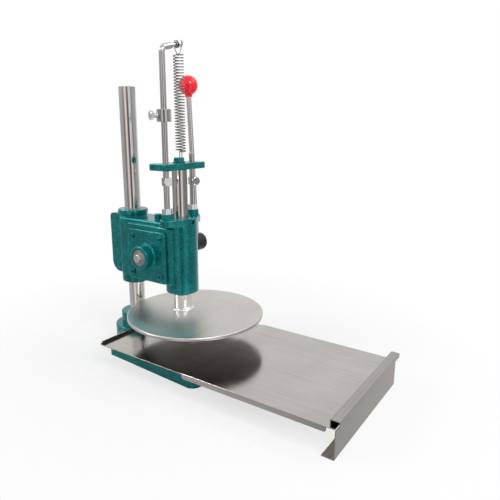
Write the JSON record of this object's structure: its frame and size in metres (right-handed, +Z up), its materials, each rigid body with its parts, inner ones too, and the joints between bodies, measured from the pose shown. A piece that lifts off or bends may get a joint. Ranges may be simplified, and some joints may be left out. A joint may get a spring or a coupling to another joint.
{
  "type": "pizza dough press",
  "caption": "Manual dough press: a rack and pinion lever lowers a round plate from a clamped head on a column, over a bed plate with a sliding tray.",
  "frame": {"origin": "on the table, under the axis of the ram, at the underside of the base casting", "axes": "+Z up along the ram and the column; +X from the column through the ram to the tray's handle, the user's side; +Y to the lever's side"},
  "size_m": [0.5307, 0.24, 0.553],
  "materials": {
    "hammered_green": "hammered enamel, glossy",
    "stainless_sheet": "fine brushed",
    "hard_chrome": "polished",
    "zinc_plate": "bright zinc plated",
    "bright_steel": "drawn and machined",
    "black_oxide": "black, satin",
    "red_plastic": "moulded, glossy",
    "bronze": "turned"
  },
  "bodies": {
    "frame": {"base_casting": "hammered_green", "column": "hard_chrome", "column_set_screw": "zinc_plate", "bed_plate": "stainless_sheet", "bed_screws": "zinc_plate"},
    "head": {"head_casting": "hammered_green", "gear_cover": "hammered_green", "cover_screws": "hammered_green", "front_bush": "bronze", "rear_bush": "bronze", "clamp_bolts": "hammered_green", "guide_rod_left": "hard_chrome", "guide_rod_right": "hard_chrome", "rod_nuts": "zinc_plate", "rod_coupling": "hard_chrome", "coupling_bolt": "zinc_plate", "crane_rod": "hard_chrome", "crane_washer": "zinc_plate", "crane_nut": "zinc_plate", "spring_hanger": "bright_steel", "return_spring": "bright_steel"},
    "ram": {"ram": "hard_chrome", "press_disc": "stainless_sheet", "disc_hub": "stainless_sheet", "hub_set_screw": "zinc_plate", "crossbar": "hammered_green", "crossbar_washer": "hammered_green", "crossbar_bolt": "hammered_green", "spring_anchor": "bright_steel"},
    "lever": {"pinion_shaft": "bright_steel", "pinion_gear": "bright_steel", "shaft_key": "bright_steel", "end_washer": "zinc_plate", "end_bolt": "zinc_plate", "lever_hub": "black_oxide", "lever_set_screw": "black_oxide", "lever_rod": "hard_chrome", "lever_ball": "red_plastic"},
    "tray": {"tray_pan": "stainless_sheet", "tray_handle": "stainless_sheet"},
    "stops": {"stop_collars": "hard_chrome", "stop_screws": "zinc_plate"}
  },
  "joints": [
    {"name": "head_slide", "type": "slide", "parent": "frame", "child": "head", "axis": [0, 0, 1], "range_m": [0, 0.19]},
    {"name": "ram_slide", "type": "slide", "parent": "head", "child": "ram", "axis": [0, 0, 1], "range_m": [-0.0405, 0], "stiffness_N_per_m": 300, "springref_m": 0.2, "deforming": ["return_spring"]},
    {"name": "lever_turn", "type": "hinge", "parent": "head", "child": "lever", "pos_m": [-0.05, 0, 0.194], "axis": [0, 1, 0], "range_deg": [0, 59.5]},
    {"name": "tray_slide", "type": "slide", "parent": "frame", "child": "tray", "axis": [1, 0, 0], "range_m": [-0.1865, 0]},
    {"name": "stops_slide", "type": "slide", "parent": "head", "child": "stops", "axis": [0, 0, 1], "range_m": [-0.032, 0]}
  ],
  "couplings": [
    {"joint": "lever_turn", "follows": "ram_slide", "rad_per_m": -25.641},
    {"joint": "stops_slide", "follows": "ram_slide", "ratio": 0.79}
  ]
}
